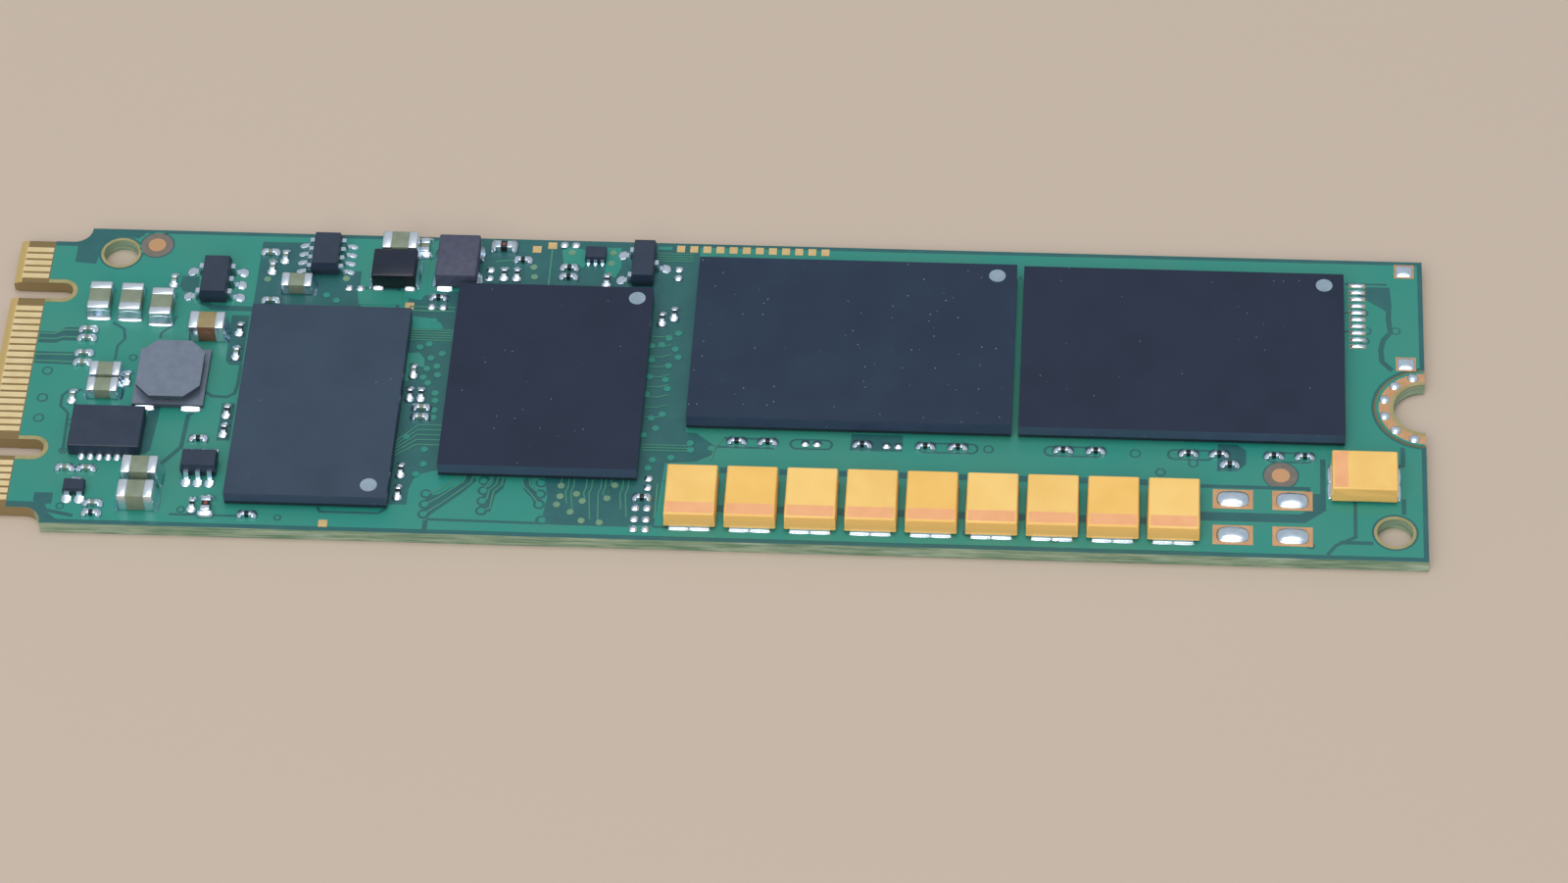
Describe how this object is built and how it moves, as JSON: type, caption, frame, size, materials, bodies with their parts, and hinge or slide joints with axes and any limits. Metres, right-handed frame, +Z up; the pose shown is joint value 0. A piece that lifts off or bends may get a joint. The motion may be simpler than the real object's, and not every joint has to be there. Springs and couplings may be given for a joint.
{
  "type": "gumstick solid state drive",
  "caption": "Keyed circuit card with gold edge contacts, flash packages, a controller, a memory package and a half round screw notch at the far end.",
  "frame": {"origin": "centre of the card's underside", "axes": "+X from the edge contacts to the screw notch, +Y to the long edge with the row of test pads, +Z up through the parts"},
  "size_m": [0.08, 0.022, 0.0021],
  "materials": {
    "board": "green solder mask over copper and glass laminate",
    "gold_plate": "satin gold plate",
    "bare_copper": "matt copper",
    "solder": "bright solder",
    "tinned_metal": "satin tin",
    "grey_mould": "fine grained epoxy",
    "black_mould": "fine grained epoxy",
    "substrate": "laminate edge",
    "yellow_case": "moulded epoxy",
    "ferrite": "ground ferrite",
    "winding": "resin filled winding",
    "powder_core": "pressed powder",
    "brown_core": "pressed powder",
    "ceramic": "fired ceramic",
    "resistor_film": "glass coat"
  },
  "bodies": {
    "root": {"circuit_board": "board", "top_edge_contacts": "gold_plate", "bottom_edge_contacts": "gold_plate", "top_screw_ring": "bare_copper", "bottom_screw_ring": "bare_copper", "screw_ring_solder": "solder", "memory_body": "grey_mould", "memory_substrate": "substrate", "memory_balls": "solder", "controller_body": "black_mould", "controller_substrate": "substrate", "controller_balls": "solder", "flash_1_body": "black_mould", "flash_1_substrate": "substrate", "flash_1_balls": "solder", "flash_2_body": "black_mould", "flash_2_substrate": "substrate", "flash_2_balls": "solder", "tantalum_capacitor_1": "yellow_case", "tantalum_capacitor_2": "yellow_case", "tantalum_capacitor_3": "yellow_case", "tantalum_capacitor_4": "yellow_case", "tantalum_capacitor_5": "yellow_case", "tantalum_capacitor_6": "yellow_case", "tantalum_capacitor_7": "yellow_case", "tantalum_capacitor_8": "yellow_case", "tantalum_capacitor_9": "yellow_case", "tantalum_capacitor_10": "yellow_case", "tantalum_terminals": "tinned_metal", "power_inductor_core": "ferrite", "power_inductor_winding": "winding", "power_inductor_terminals": "tinned_metal", "black_choke_body": "powder_core", "brown_choke_body": "brown_core", "choke_terminals": "tinned_metal", "ceramic_capacitors": "ceramic", "ceramic_capacitor_terminals": "tinned_metal", "small_capacitors": "ceramic", "small_resistors": "resistor_film", "small_chip_terminals": "tinned_metal", "five_lead_body": "black_mould", "five_lead_leads": "tinned_metal", "eight_lead_body": "black_mould", "eight_lead_leads": "tinned_metal", "six_lead_body": "black_mould", "six_lead_leads": "tinned_metal", "power_circuit_body": "black_mould", "power_circuit_pads": "tinned_metal", "diode_body": "black_mould", "diode_leads": "tinned_metal", "transistor_body": "black_mould", "transistor_leads": "tinned_metal", "sensor_body": "black_mould", "sensor_leads": "tinned_metal", "test_pads": "bare_copper", "connector_lands": "bare_copper", "connector_solder": "solder", "spare_lands": "bare_copper", "spare_solder": "solder"}
  },
  "joints": []
}
